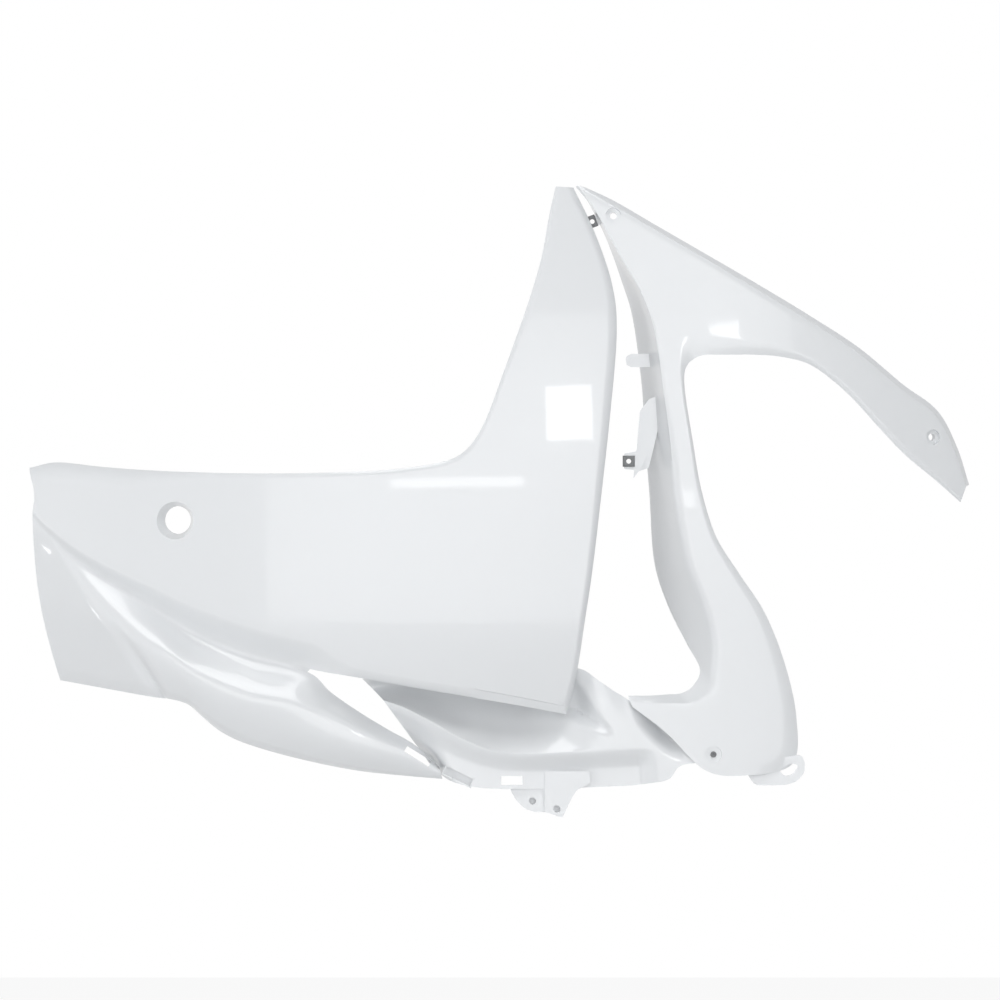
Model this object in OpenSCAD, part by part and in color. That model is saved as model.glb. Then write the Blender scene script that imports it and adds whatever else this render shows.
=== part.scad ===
// Motorcycle side fairing, right-hand side, outer face toward -Y, front of the bike toward +X.
// All lengths are millimetres. The origin is on the axis of the large rear bore, inside its collar.
// The panels are thin moulded shells: guide curves give the outline, depth formulas give the form.

/* [Shell] */
// wall thickness of the mouldings
wall = 3; // [2.4:0.1:4]
// gap left between two seated pieces
clear = 0.3; // [0.2:0.05:0.5]

/* [Outer panel] */
// how far the rear end falls back from the crest
rear_sweep = 60; // [30:1:80]
// how far the right edge falls back from the crest
front_sweep = 24; // [10:1:40]
// how far the top leans inward
top_lean = 48; // [20:1:70]
// how far the lower edge tucks in
low_tuck = 12; // [0:1:20]
// width of the rolled rim at the right edge
hem_w = 9; // [6:0.5:12]
// depth of the rolled rim
hem_deep = 5; // [3:0.5:7]
// depth of the valley above the lower blade
valley_deep = 16; // [8:1:22]
// how far the lower blade bulges outward
blade_out = 13; // [6:1:20]
// slope of the rear facet, millimetres back per millimetre
facet_slope = 0.45; // [0.1:0.05:0.7]
// offset of the stepped strip at the bottom right
joggle = 1.8; // [1:0.1:2.6]

/* [Duct panel] */
// depth of the air channel behind the outer panel
channel_deep = 34; // [24:1:44]
// depth of the groove under the ridge
groove_deep = 9; // [4:1:14]

/* [Front panel] */
// how far the tip of the arm falls back
arm_sweep = 80; // [50:1:110]
// depth of the side wall of the leg
leg_wall = 52; // [30:1:65]
// depth of the return along the arm
arm_return = 8; // [4:1:12]

/* [Bores] */
// radius of the large rear bore
rear_bore_r = 12.5; // [9:0.5:15]
// radius of the screw bores
screw_bore_r = 3.2; // [2.6:0.1:3.8]
// radius of the round recess around a screw bore
recess_r = 6.8; // [6:0.2:7.4]
// radius of the wide mouth of the rear bore
mouth_r = 17; // [16:0.5:19]
// tilt of the rear bore toward the rear, in degrees
rear_tilt = 12; // [8:1:16]

/* [Hidden] */
fine = 3;
white = [0.92, 0.93, 0.94];
steel = [0.45, 0.46, 0.47];

// guide curves of the outer panel, [x, z]: upper edge, then lower edge and right edge
top_g = [[-135, 47], [-110, 52], [-70, 48], [-30, 45], [15, 43], [60, 42], [105, 42],
    [145, 43], [185, 45], [213, 48], [236, 52], [251, 57], [263, 67], [273, 82], [281, 100],
    [289, 122], [302, 158], [316, 198], [327, 236], [334, 274], [340, 301]];
low_g = [[-132, 0], [-106, -24], [-72, -49], [-30, -74], [15, -101], [66, -121], [119, -134],
    [165, -142], [215, -151], [262, -159], [308, -167], [350, -175]];
side_g = [[350, -175], [359, -137], [366, -92], [373, -45], [380, 14], [389, 95],
    [395, 168], [391, 212], [375, 260], [356, 300]];
blade_g = [[-132, 0], [-106, -24], [-72, -49], [-30, -74], [15, -101], [66, -121],
    [119, -134], [140, -153], [165, -171], [190, -187], [213, -201], [235, -222]];
keel_g = [[-108, -145], [-25, -159], [-8, -161], [9, -166], [23, -178], [38, -190],
    [58, -200], [90, -210], [127, -219], [165, -226], [203, -230], [238, -233]];

// guide curves of the front panel, [x, z]: crease, inner edge and far edge of the side wall
crease_g = [[712, 30], [701, 64], [683, 96], [652, 119], [612, 152], [567, 181], [522, 208],
    [473, 237], [428, 263], [388, 286], [365, 297], [378, 275], [398, 238], [417, 205],
    [429, 171], [437, 117], [444, 63], [448, 14], [458, -39], [472, -76], [480, -108],
    [479, -136], [477, -154], [463, -164], [445, -165], [427, -165], [415, -164], [406, -162]];
inner_g = [[707, 16], [684, 36], [656, 59], [632, 84], [603, 115], [572, 139], [545, 147],
    [520, 149], [500, 149], [486, 149], [476, 149], [468, 147], [463, 144], [459, 140],
    [456, 131], [457, 112], [464, 68], [471, 28], [484, -14], [505, -48], [528, -83],
    [546, -128], [557, -178], [553, -220], [510, -230], [474, -225], [440, -192], [409, -168]];
wall_g = [[715, 32], [704, 66], [686, 99], [654, 123], [614, 156], [569, 185], [524, 212],
    [474, 241], [429, 267], [389, 290], [359, 302], [370, 286], [386, 254], [400, 216],
    [410, 182], [418, 122], [421, 72], [425, 23], [429, -36], [441, -76], [458, -111],
    [470, -134], [464, -149], [453, -156], [441, -157], [425, -158], [413, -158], [405, -158]];

// guide curves of the duct panel, [x, z]: hidden upper edge, ridge and lower edge
deep_g = [[166, -143], [190, -140], [215, -140], [240, -140], [265, -140], [290, -139],
    [315, -138], [340, -134], [362, -134], [378, -144], [391, -153], [404, -161], [418, -171],
    [438, -178], [460, -186]];
ridge_g = [[185, -162], [205, -169], [228, -181], [253, -195], [279, -206], [303, -210],
    [325, -210], [345, -209], [365, -208], [387, -207], [406, -206], [422, -205], [438, -204],
    [456, -206], [474, -209]];
base_g = [[226, -219], [240, -232], [255, -238], [272, -241], [290, -242], [306, -242],
    [325, -242], [345, -242], [362, -241], [388, -240], [408, -239], [424, -237], [442, -233],
    [453, -221], [479, -218]];

function mix(a, b, t) = a + (b - a) * t;
function clip01(t) = min(max(t, 0), 1);
function ease(t) = let (s = clip01(t)) s * s * (3 - 2 * s);
function bump(t) = t <= 0 || t >= 1 ? 0 : pow(sin(180 * t), 2);
function bend(a, b, c, d, t) =
    b + 0.5 * t * ((c - a) + t * ((2 * a - 5 * b + 4 * c - d) + t * (3 * (b - c) + d - a)));
function along(g, u) =
    let (last = len(g) - 1, i = min(floor(u), last - 1), t = u - i)
    bend(i == 0 ? 2 * g[0] - g[1] : g[i - 1], g[i], g[i + 1],
        i + 2 > last ? 2 * g[last] - g[last - 1] : g[i + 2], t);
function unit(v) = norm(v) > 0 ? v / norm(v) : [0, 0, 0];

// shared shell builder: a grid of points, a matching grid of used cells, a thickness
function used(c, i, j) = i < 0 || j < 0 || i >= len(c) || j >= len(c[0]) ? false : c[i][j];
function side_u(c, i, j) = used(c, i - 1, j) || used(c, i, j);
function side_v(c, i, j) = used(c, i, j - 1) || used(c, i, j);
function skin_normal(p, c, i, j) =
    let (r = side_u(c, i, j) ? p[i][j + 1] : p[i][j],
        l = side_u(c, i, j - 1) ? p[i][j - 1] : p[i][j],
        d = side_v(c, i, j) ? p[i + 1][j] : p[i][j],
        t = side_v(c, i - 1, j) ? p[i - 1][j] : p[i][j])
    unit(cross(r - l, d - t));

// every panel is open to one side, so its inner face is the outer one moved along +Y,
// further on a slope, which keeps the wall's true thickness
steep = 0.35;
module shell(p, c, thick) {
    rows = len(p);
    cols = len(p[0]);
    n = rows * cols;
    front = [for (i = [0:rows - 1]) for (j = [0:cols - 1]) p[i][j]];
    back = [for (i = [0:rows - 1]) for (j = [0:cols - 1])
        p[i][j] + [0, thick / max(abs(skin_normal(p, c, i, j)[1]), steep), 0]];
    skin = [for (i = [0:rows - 2]) for (j = [0:cols - 2]) if (c[i][j])
        let (a = i * cols + j, b = a + 1, d = a + cols, e = d + 1)
        each [[a, b, e], [a, e, d], [n + a, n + e, n + b], [n + a, n + d, n + e]]];
    rim_rows = [for (i = [0:rows - 1]) for (j = [0:cols - 2])
        let (up = used(c, i - 1, j), dn = used(c, i, j), a = i * cols + j, b = a + 1)
        if (up != dn) each (dn ? [[a, n + a, n + b], [a, n + b, b]]
            : [[a, n + b, n + a], [a, b, n + b]])];
    rim_cols = [for (i = [0:rows - 2]) for (j = [0:cols - 1])
        let (lf = used(c, i, j - 1), rt = used(c, i, j), a = i * cols + j, d = a + cols)
        if (lf != rt) each (rt ? [[a, n + d, n + a], [a, d, n + d]]
            : [[a, n + a, n + d], [a, n + d, d]])];
    polyhedron(points = concat(front, back), faces = concat(skin, rim_rows, rim_cols));
}

// outer face of the outer panel as a depth over [x, z]
seat_back = 12;
crest_x = 173;
lean_z = -60;
function crown(x, z) =
    (x < crest_x ? rear_sweep * pow((crest_x - x) / 308, 2)
        : front_sweep * pow((x - crest_x) / 220, 2))
    + top_lean * pow(max(z - lean_z, 0) / 360, 2)
    + low_tuck * pow(max(lean_z - z, 0) / 115, 2);
function face_y(x, z) = crown(x, z) - crown(0, 0) - seat_back;
function ridge_x(z) = -108 + (-27 - z) * 83 / 132;
function facet_y(x, z) = facet_slope * max(ridge_x(z) - x, 0) * clip01(-z / 30);

corner_u = 11;
slot_u = 6;
last_u = 20;
function edge_low(u) = u <= corner_u ? along(low_g, u) : along(side_g, u - corner_u);
function zone_w(u) = u > 7 ? hem_w : mix(9 + 17 * ease((u - 1) / 4), hem_w, ease(u - 6));
function valley_part(u) = mix(0.2, 1, ease(u / 4.5));
function zone_y(u, q) =
    let (v = valley_deep * valley_part(u) * ease(q) * (1 - ease((u - 5.6) / 1.2)),
        h = hem_deep * q * q * ease((u - 6) / 1.2)
            * (1 - ease((u - 9) / 0.4) * (1 - ease((u - 10.9) / 0.2))),
        s = joggle * clip01(q / 0.12) * ease((u - 9) / 0.4) * (1 - ease((u - 10.9) / 0.2)))
    v + h + s;

nub_in = 3;
function rear_top(u) = 1 - ease((u - 2.5) / 2);
function top_w(u) = mix(5, 15, rear_top(u));
function top_roll(u) = mix(1.5, 8, rear_top(u));
top_rows = [0, 0.3, 0.65, 1];
mid_rows = 9;
zone_rows = [0, 0.12, 0.3, 0.5, 0.7, 0.85, 1];
main_rows = len(top_rows) + mid_rows - 1 + len(zone_rows);
function main_point(u, i) =
    let (a = along(top_g, u), b = edge_low(u), l = norm(b - a),
        tw = min(top_w(u), l * 0.2), zw = min(zone_w(u), l * 0.35), k = zw / zone_w(u),
        nt = len(top_rows),
        q = i < nt ? 0 : i < nt + mid_rows - 1 ? 0 : zone_rows[i - nt - mid_rows + 1],
        s = i < nt ? tw * top_rows[i]
            : i < nt + mid_rows - 1 ? mix(tw, l - zw, (i - nt + 1) / mid_rows)
            : l - zw * (1 - q),
        m = mix(a, b, s / l) + [nub_in * bump(s / l) * (1 - clip01(u)), 0],
        roll = 1 - clip01(s / tw))
    [m[0], face_y(m[0], m[1]) + facet_y(m[0], m[1]) + zone_y(u, q) * k
        + tw / top_w(u) * top_roll(u) * roll * roll, m[1]];

blade_t = [0.05, 0.1, 0.16, 0.24, 0.34, 0.46, 0.58, 0.7, 0.81, 0.9, 0.96, 1];
function blade_form(u, t) =
    let (sharp = mix(0.55, 0.3, ease((u - 5) / 3)))
    valley_deep * valley_part(u) * (1 - ease(t / sharp)) * mix(1, 0.7, ease((u - 9) / 2))
    - blade_out * sin(180 * pow(t, 1.3)) * ease(u / 2.5) * (1 - 0.7 * ease((u - 8) / 3))
    + 5 * bump((u - 1) / 1.2) * ease((t - 0.5) / 0.35)
    + hem_deep * pow(clip01((t - 0.9) / 0.1), 2) * (1 - 0.8 * ease((u - 8) / 3));
function blade_point(u, t) =
    let (a = along(blade_g, u), b = along(keel_g, u), m = mix(a, b, t),
        x = m[0] - 6 * sin(180 * t) * (1 - clip01(u)))
    [x, face_y(x, m[1]) + facet_y(x, m[1]) + blade_form(u, t), m[1]];

module outer_shell() {
    nj = last_u * fine;
    nb = corner_u * fine;
    p = [for (i = [0:main_rows + len(blade_t) - 1]) [for (j = [0:nj])
        i < main_rows ? main_point(j / fine, i)
        : blade_point(min(j, nb) / fine, blade_t[i - main_rows])]];
    c = [for (i = [0:main_rows + len(blade_t) - 2]) [for (j = [0:nj - 1])
        i < main_rows - 1 ? true : i == main_rows - 1 ? j < slot_u * fine : j < nb]];
    shell(p, c, wall);
}

// outer face of the front panel as a depth over [x, z]
function leg_y(x, z) = 6 - seat_back + 38 * pow(max(z + 100, 0) / 400, 1.6)
    + arm_sweep * pow(max(x - 400, 0) / 316, 2);
peak_u = 10;
peak_return = 2;
foot_u = 22;
crease_end = 27;
function wall_part(u) = u <= peak_u ? mix(arm_return, peak_return, ease((u - 8) / 2))
    : u < 16 ? mix(peak_return, leg_wall, ease((u - peak_u) / 3.5))
    : u < 24 ? mix(leg_wall, 9, ease((u - 18) / 4)) : mix(9, 2, ease((u - 24) / 2));
crease_w = 9;
function crease_soft(u) = mix(0.6, 4.5, ease((u - 14) / 4)) * (1 - 0.9 * ease((u - 21) / 1.5));
wall_t = [0, 0.3, 0.6, 0.85, 1];
face_t = [0.04, 0.12, 0.24, 0.36, 0.48, 0.6, 0.72, 0.84, 0.93, 1];
function front_point(u, i) =
    let (a = along(crease_g, u), b = along(inner_g, u), w = along(wall_g, u),
        nw = len(wall_t), t = i < nw ? wall_t[i] : face_t[i - nw],
        m = i < nw ? mix(w, a, t) : mix(a, b, t),
        roll = i < nw ? 0 : 3 * pow(clip01((t - 0.84) / 0.16), 2) * (1 - ease((u - 22.5) / 1.5)),
        round = crease_soft(u) * pow(1 - clip01(t * norm(b - a) / crease_w), 2))
    [m[0], i < nw ? leg_y(a[0], a[1]) + crease_soft(u) + wall_part(u) * (1 - t)
        : leg_y(m[0], m[1]) + roll + round, m[1]];

module front_shell() {
    nj = crease_end * fine;
    rows = len(wall_t) + len(face_t);
    p = [for (i = [0:rows - 1]) [for (j = [0:nj]) front_point(crease_end - j / fine, i)]];
    c = [for (i = [0:rows - 2]) [for (j = [0:nj - 1]) true]];
    shell(p, c, wall);
}

// duct panel: a surface through four guide curves in space
function seat_y(x, z) = face_y(x, z) + hem_deep + wall * 1.5 + clear;
function foot_seat(x, z) = leg_y(x, z) + wall + clear;
function duct_seat(k, p) = mix(seat_y(p[0], p[1]), foot_seat(p[0], p[1]), ease((k - 8) / 3));
function deep_y(k, p) = duct_seat(k, p) + 3 * bump((k - 7) / 1.8)
    + channel_deep * (1 - ease((k - 5.5) / 2)) * mix(0.4, 1, ease(k / 2.5));
function ridge_y(k, p) = mix(-3 - seat_back, foot_seat(p[0], p[1]), ease((k + 1) / 10));
// the channel's end wall right of the outer panel's corner, which runs out to a point
function end_wall(k, t) =
    let (top = 0.2 + 0.35 * (k - 8), high = end_deep * (1 - ease((k - 8.6) / 1.5)) * ease((k - 6.5) / 1.5))
    high * ease((t - top) / 0.12) * (1 - ease((t - top - 0.12) / max(0.9 - top, 0.1)));
// the hollow beside the foot's seam
function seam_dent(p) =
    let (d = p - dent_at, a = (d[0] - d[1]) * sqrt(0.5), b = (d[0] + d[1]) * sqrt(0.5))
    dent_deep * exp(-pow(a / 24, 2) - pow(b / 9, 2));
end_deep = 14;
// how much deeper the duct's tip lies, where the lower blade passes over it
tip_deep = 16;
dent_deep = 9;
dent_at = [434, -187];
function duct_row(k, t) =
    let (d = along(deep_g, k), r = along(ridge_g, k), b = along(base_g, k),
        hollow = channel_deep * 0.5 * (1 - ease((k - 7) / 2)),
        g = groove_deep + 11 * (1 - ease(k / 2))
            + tip_deep * ease((t - 1.5) / 0.3) * (1 - ease((k - 0.75) / 0.9)),
        m = t < 1 ? mix(d, r, t) : mix(r, b, t - 1),
        free = t < 1
            ? mix(deep_y(k, d), ridge_y(k, r), ease(t)) + hollow * sin(180 * t) + end_wall(k, t)
            : ridge_y(k, r) + g * ease((t - 1) / 0.5))
    [m[0], mix(free, foot_seat(m[0], m[1]), ease((k - 10.4) / 1.2)) + seam_dent(m), m[1]];
duct_t = [0, 0.12, 0.26, 0.4, 0.55, 0.7, 0.82, 0.92, 1, 1.1, 1.25, 1.42, 1.6, 1.8, 2];

module duct_shell() {
    nk = (len(deep_g) - 1) * fine;
    p = [for (t = duct_t) [for (j = [0:nk]) duct_row(j / fine, t)]];
    c = [for (i = [0:len(duct_t) - 2]) [for (j = [0:nk - 1]) true]];
    shell(p, c, wall);
}

// a local frame on a panel: +Z points outward, the origin is on the outer face
module on_face(x, y, z, turn = 0, nod = 0) {
    translate([x, y, z]) rotate([nod, 0, turn]) rotate([90, 0, 0]) children();
}
// a flat plate that faces the front, its outline is drawn as [x, z]
module plate(y, thick) {
    translate([0, y + thick, 0]) rotate([90, 0, 0]) linear_extrude(thick) children();
}
round_fn = 64;
boss_wall = 1.6;

module rear_mouth(grow, from, to) {
    k = (mouth_r - rear_bore_r) / cone_deep;
    on_face(0, 0, 0, -rear_tilt)
        translate([0, 0, face_up - from]) mirror([0, 0, 1])
            cylinder(r1 = mouth_r - k * from + grow, r2 = mouth_r - k * to + grow, h = to - from,
                $fn = round_fn);
}
blade_slot_at = [216, -212.5];
blade_slot_turn = 32;
blade_slot = [26, 90, 5.5];
face_up = 11.7;
cone_deep = 9;
collar_deep = 15;
module outer_panel() {
    color(white) difference() {
        union() {
            outer_shell();
            rear_mouth(2.6, 1.8, cone_deep);
            on_face(0, 0, 0, -rear_tilt) translate([0, 0, face_up - collar_deep])
                cylinder(r = rear_bore_r + 2.6, h = collar_deep - cone_deep + 0.5, $fn = round_fn);
        }
        rear_mouth(0, -3, cone_deep + 0.01);
        translate([blade_slot_at[0], 0, blade_slot_at[1]]) rotate([0, blade_slot_turn, 0])
            cube(blade_slot, center = true);
        on_face(0, 0, 0, -rear_tilt) translate([0, 0, -30])
            cylinder(r = rear_bore_r, h = 40, $fn = round_fn);
    }
}

// where the fasteners sit, [x, z]
upper_at = [392, 275];
arm_at = [682, 75];
foot_at = [482, -211];
tab_a = [319, -253];
tab_b = [341, -260];
pocket_at = [252.5, -230.5];
pocket_turn = 26;
pocket_long = 26;
pocket_high = 7;
pocket_y = -6;
pocket_deep = 9;
arm_turn = 23;
foot_turn = 7.5;
upper_nod = -8;
boss_deep = 9;
recess_deep = 3.4;
nub_y = 50 - seat_back;
foot_recess_r = 7.5;
foot_recess = 1.4;
foot_head_r = 2.7;
foot_hex_r = 1.2;
foot_bore_r = 1.8;
foot_long = 13;
tab_y = 18 - seat_back;
tab_step = 5;
tab_wall = 3;
blind_deep = 7;

module boss(at, turn, nod) {
    on_face(at[0], leg_y(at[0], at[1]), at[1], turn, nod) translate([0, 0, -boss_deep])
        cylinder(r = recess_r + boss_wall, h = boss_deep - 1.4, $fn = round_fn);
}
module boss_cut(at, turn, nod, r, deep, bore_r = screw_bore_r) {
    on_face(at[0], leg_y(at[0], at[1]), at[1], turn, nod) {
        translate([0, 0, -deep]) cylinder(r = r, h = deep + 8, $fn = round_fn);
        translate([0, 0, -30]) cylinder(r = bore_r, h = 40, $fn = round_fn);
    }
}

module pocket(grow, from, to) {
    translate([pocket_at[0], pocket_y, pocket_at[1]]) rotate([0, pocket_turn, 0])
        translate([-pocket_long / 2 - grow, from, -pocket_high / 2 - grow])
            cube([pocket_long + 2 * grow, to - from, pocket_high + 2 * grow]);
}
module duct_panel() {
    color(white) difference() {
        union() {
            duct_shell();
            plate(tab_y, tab_wall)
                polygon([[299, -234], [299, -243], [304, -252], [312, -260], [321, -263],
                    [332, -263], [332, -228], [305, -228]]);
            plate(tab_y - tab_step, tab_wall)
                polygon([[331, -226], [331, -263], [346, -268], [354, -251], [359, -243],
                    [371, -237], [371, -226]]);
            plate(tab_y - tab_step, tab_step + tab_wall)
                polygon([[330, -226], [330, -263], [333, -264], [333, -226]]);
            on_face(tab_a[0], tab_y + tab_wall + 5, tab_a[1])
                cylinder(r = screw_bore_r + 2.5, h = 6, $fn = round_fn);
            on_face(tab_b[0], tab_y - tab_step + tab_wall + 5, tab_b[1])
                cylinder(r = screw_bore_r + 2.5, h = 6, $fn = round_fn);
            on_face(foot_at[0], leg_y(foot_at[0], foot_at[1]), foot_at[1], foot_turn)
                translate([0, 0, -12]) cylinder(r = 7, h = 7, $fn = round_fn);
            pocket(boss_wall, 4, pocket_deep + boss_wall);
        }
        on_face(tab_a[0], tab_y + blind_deep, tab_a[1])
            cylinder(r = screw_bore_r, h = 20, $fn = round_fn);
        on_face(tab_b[0], tab_y - tab_step + blind_deep, tab_b[1])
            cylinder(r = screw_bore_r, h = 20, $fn = round_fn);
        on_face(foot_at[0], leg_y(foot_at[0], foot_at[1]), foot_at[1], foot_turn)
            translate([0, 0, -30]) cylinder(r = foot_bore_r, h = 40, $fn = round_fn);
        translate([291, -20, -238.5]) cube([19, 60, 8]);
        pocket(0, -12, pocket_deep);
    }
}

clip_tab_y = 53 - seat_back;
bracket_y = 44 - seat_back;
clip_turn = 20;
top_clip_w = 7.8;
leg_clip_w = 10;
module front_panel() {
    color(white) difference() {
        union() {
            front_shell();
            boss(upper_at, 0, upper_nod);
            boss(arm_at, arm_turn, 0);
            plate(clip_tab_y, wall) translate(top_clip_at) rotate(clip_turn)
                polygon([[-4.2, -5], [-4.2, 4.1], [6, 4.1], [17, 6], [17, -8], [6, -5]]);
            plate(bracket_y, wall)
                polygon([[432, 112], [424, 109], [416, 98], [413, 62], [401.7, 60], [401.7, 46],
                    [411, 45], [410, 37], [415, 44], [424, 47], [432, 80]]);
            plate(nub_y, wall) polygon([[403, 147], [404, 140], [408, 138], [427, 138], [426, 150],
                [408, 150]]);
            plate(leg_y(545, -222) + 1, 6) difference() {
                polygon([[511, -226], [519, -239], [546, -239], [557, -236], [564, -228],
                    [565, -219], [561, -211], [545, -214]]);
                polygon([[541, -225], [546, -231], [554, -229], [559, -221], [552, -219]]);
            }
        }
        boss_cut(upper_at, 0, upper_nod, recess_r, recess_deep);
        boss_cut(arm_at, arm_turn, 0, recess_r, recess_deep);
        boss_cut(foot_at, foot_turn, 0, foot_recess_r, foot_recess, foot_bore_r);
        on_face(top_clip_at[0], clip_tab_y, top_clip_at[1])
            translate([0, 0, -10]) cylinder(r = clip_bore_r, h = 20, $fn = round_fn);
        on_face(leg_clip_at[0], bracket_y, leg_clip_at[1])
            translate([0, 0, -10]) cylinder(r = clip_bore_r, h = 20, $fn = round_fn);
    }
}

// sheet-metal clip nut, folded round a plate of the wall's thickness, open at one side
top_clip_at = side_g[8] + [-1.9, 9.5];
leg_clip_at = wall_g[16] + [-15, -19];
clip_bore_r = 2.8;
clip_thread_r = 2.2;
clip_sheet = 0.9;
clip_long = 11;
module clip_nut(at, y, turn, w) {
    slot = wall + 2 * 0.15;
    on_face(at[0], y + wall / 2, at[1]) rotate([0, 0, turn]) difference() {
        union() {
            translate([-w / 2, -clip_long / 2, -slot / 2 - clip_sheet])
                cube([w, clip_long, slot + 2 * clip_sheet]);
            translate([0, 0, -slot / 2 - 4.5]) cylinder(r = 3.6, h = 4, $fn = round_fn);
        }
        translate([-w / 2 - 0.1, -clip_long / 2 - 0.1, -slot / 2])
            cube([w + 0.2, clip_long + 0.1 - clip_sheet, slot]);
        translate([0, 0, -12]) cylinder(r = clip_thread_r, h = 24, $fn = round_fn);
    }
}
module top_clip() {
    color(steel) clip_nut(top_clip_at, clip_tab_y, clip_turn, top_clip_w);
}
module leg_clip() {
    color(steel) clip_nut(leg_clip_at, bracket_y, 90, leg_clip_w);
}
// small screw of the foot, its head stands on the floor of the recess
module foot_screw() {
    color(steel) on_face(foot_at[0], leg_y(foot_at[0], foot_at[1]), foot_at[1], foot_turn)
        difference() {
            union() {
                translate([0, 0, -foot_recess]) cylinder(r = foot_head_r, h = foot_recess, $fn = round_fn);
                translate([0, 0, -foot_recess - foot_long])
                    cylinder(r = foot_bore_r - clear, h = foot_long + 0.5, $fn = round_fn);
            }
            translate([0, 0, -foot_recess / 2]) cylinder(r = foot_hex_r, h = foot_recess, $fn = 6);
        }
}

outer_panel();
duct_panel();
front_panel();
top_clip();
leg_clip();
foot_screw();
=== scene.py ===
"""Right-hand motorcycle side fairing: three glossy white mouldings, two clip nuts and a screw.

The panels are rebuilt at a fine resolution from the guide curves and depth formulas of the part.
Lengths are written in millimetres and turned into metres when a mesh is made.
"""

import math

import bmesh
import bpy
import numpy as np
from mathutils import Matrix, Vector


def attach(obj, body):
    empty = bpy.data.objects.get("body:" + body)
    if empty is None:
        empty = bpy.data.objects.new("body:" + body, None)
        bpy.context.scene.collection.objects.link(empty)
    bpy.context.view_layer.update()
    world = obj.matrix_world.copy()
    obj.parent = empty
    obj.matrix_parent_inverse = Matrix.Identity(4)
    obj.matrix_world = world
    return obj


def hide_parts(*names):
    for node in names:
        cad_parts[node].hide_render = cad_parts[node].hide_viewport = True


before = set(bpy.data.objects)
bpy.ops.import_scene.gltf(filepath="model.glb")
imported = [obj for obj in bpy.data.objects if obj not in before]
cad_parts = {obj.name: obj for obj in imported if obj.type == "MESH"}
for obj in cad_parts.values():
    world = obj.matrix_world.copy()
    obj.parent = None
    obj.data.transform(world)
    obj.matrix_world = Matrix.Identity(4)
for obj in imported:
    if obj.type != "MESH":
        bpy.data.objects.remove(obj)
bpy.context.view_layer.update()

MM = 0.001

# shell; STEEP is the least share of the normal along Y that the wall's depth follows
WALL = 3.0
CLEAR = 0.3
STEEP = 0.35
SEAT_BACK = 12.0

# outer panel; places with _U are counted in points along a guide
REAR_SWEEP = 60.0
REAR_SPAN = 308.0
FRONT_SWEEP = 24.0
FRONT_SPAN = 220.0
TOP_LEAN = 48.0
LEAN_SPAN = 360.0
LOW_TUCK = 12.0
TUCK_SPAN = 115.0
HEM_W = 9.0
HEM_DEEP = 5.0
VALLEY_DEEP = 16.0
VALLEY_W = (9.0, 26.0)
BLADE_OUT = 13.0
BLADE_DENT = 5.0
BLADE_ROLL_AT = 0.9
FACET_SLOPE = 0.45
FACET_TOP = (-108.0, -27.0)
FACET_LOW = (-25.0, -159.0)
FACET_FADE = 30.0
JOGGLE = 1.8
JOGGLE_RAMP = 0.12
JOGGLE_TILT = 2.5
TOP_W = (5.0, 15.0)
TOP_ROLL = (1.5, 8.0)
NUB_IN = 3.0
REAR_BOW = 6.0
CREST_X = 173.0
LEAN_Z = -60.0
CORNER_U = 11
SLOT_U = 6
LAST_U = 20

# duct panel
CHANNEL_DEEP = 34.0
GROOVE_DEEP = 9.0
END_DEEP = 14.0
START_DEEP = 11.0
TIP_DEEP = 16.0
RIDGE_Y = -3.0 - SEAT_BACK
CORNER_ROOM = 3.0
DENT_DEEP = 13.0
DENT_AT = (434.0, -187.0)
DENT_SIZE = (24.0, 9.0)

# front panel
LEG_Y = 6.0 - SEAT_BACK
LEG_LEAN = 38.0
LEG_LEAN_Z = -100.0
LEG_LEAN_SPAN = 400.0
ARM_SWEEP = 80.0
ARM_FROM_X = 400.0
ARM_SPAN = 316.0
LEG_WALL = 52.0
LOW_WALL = 9.0
FOOT_WALL = 2.0
ARM_RETURN = 8.0
PEAK_RETURN = 2.0
PEAK_U = 10
CREASE_W = 9.0
CREASE_SOFT = (0.6, 4.5)
CREASE_END = 27
INNER_ROLL = 3.0
INNER_ROLL_AT = 0.84

# bores and fasteners
REAR_BORE_R = 12.5
MOUTH_R = 17.0
REAR_TILT = 12.0
FACE_UP = 11.7
CONE_DEEP = 9.0
COLLAR_DEEP = 15.0
COLLAR_WALL = 2.6
COLLAR_START = 1.8
SCREW_BORE_R = 3.2
RECESS_R = 6.8
BOSS_WALL = 1.6
BOSS_START = 1.4
BOSS_DEEP = 9.0
RECESS_DEEP = 3.4
UPPER_AT = (392.0, 275.0)
ARM_AT = (682.0, 75.0)
FOOT_AT = (482.0, -211.0)
TAB_A = (319.0, -253.0)
TAB_B = (341.0, -260.0)
ARM_TURN = 23.0
FOOT_TURN = 7.5
UPPER_NOD = -8.0
FOOT_RECESS_R = 7.5
FOOT_HEAD_R = 2.7
FOOT_HEX_R = 1.2
FOOT_BORE_R = 1.8
FOOT_LONG = 13.0
FOOT_RECESS = 1.4
FOOT_BOSS_R = 7.0
FOOT_BOSS_START = 5.0
FOOT_BOSS_DEEP = 12.0
TAB_Y = 18.0 - SEAT_BACK
TAB_STEP = 5.0
TAB_WALL = 3.0
TAB_BOSS_WALL = 2.5
TAB_BOSS_DEEP = 5.0
BLIND_DEEP = 7.0
CLIP_TAB_Y = 53.0 - SEAT_BACK
BRACKET_Y = 44.0 - SEAT_BACK
NUB_Y = 50.0 - SEAT_BACK
TOP_CLIP_AT = (373.1, 269.5)
LEG_CLIP_AT = (406.0, 53.0)
CLIP_TURN = 20.0
CLIP_LONG = 11.0
TOP_CLIP_W = 7.8
LEG_CLIP_W = 10.0
CLIP_BORE_R = 2.8
CLIP_THREAD_R = 2.2
CLIP_SHEET = 0.9
CLIP_BARREL_R = 3.6
CLIP_BARREL_START = 0.5
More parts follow.
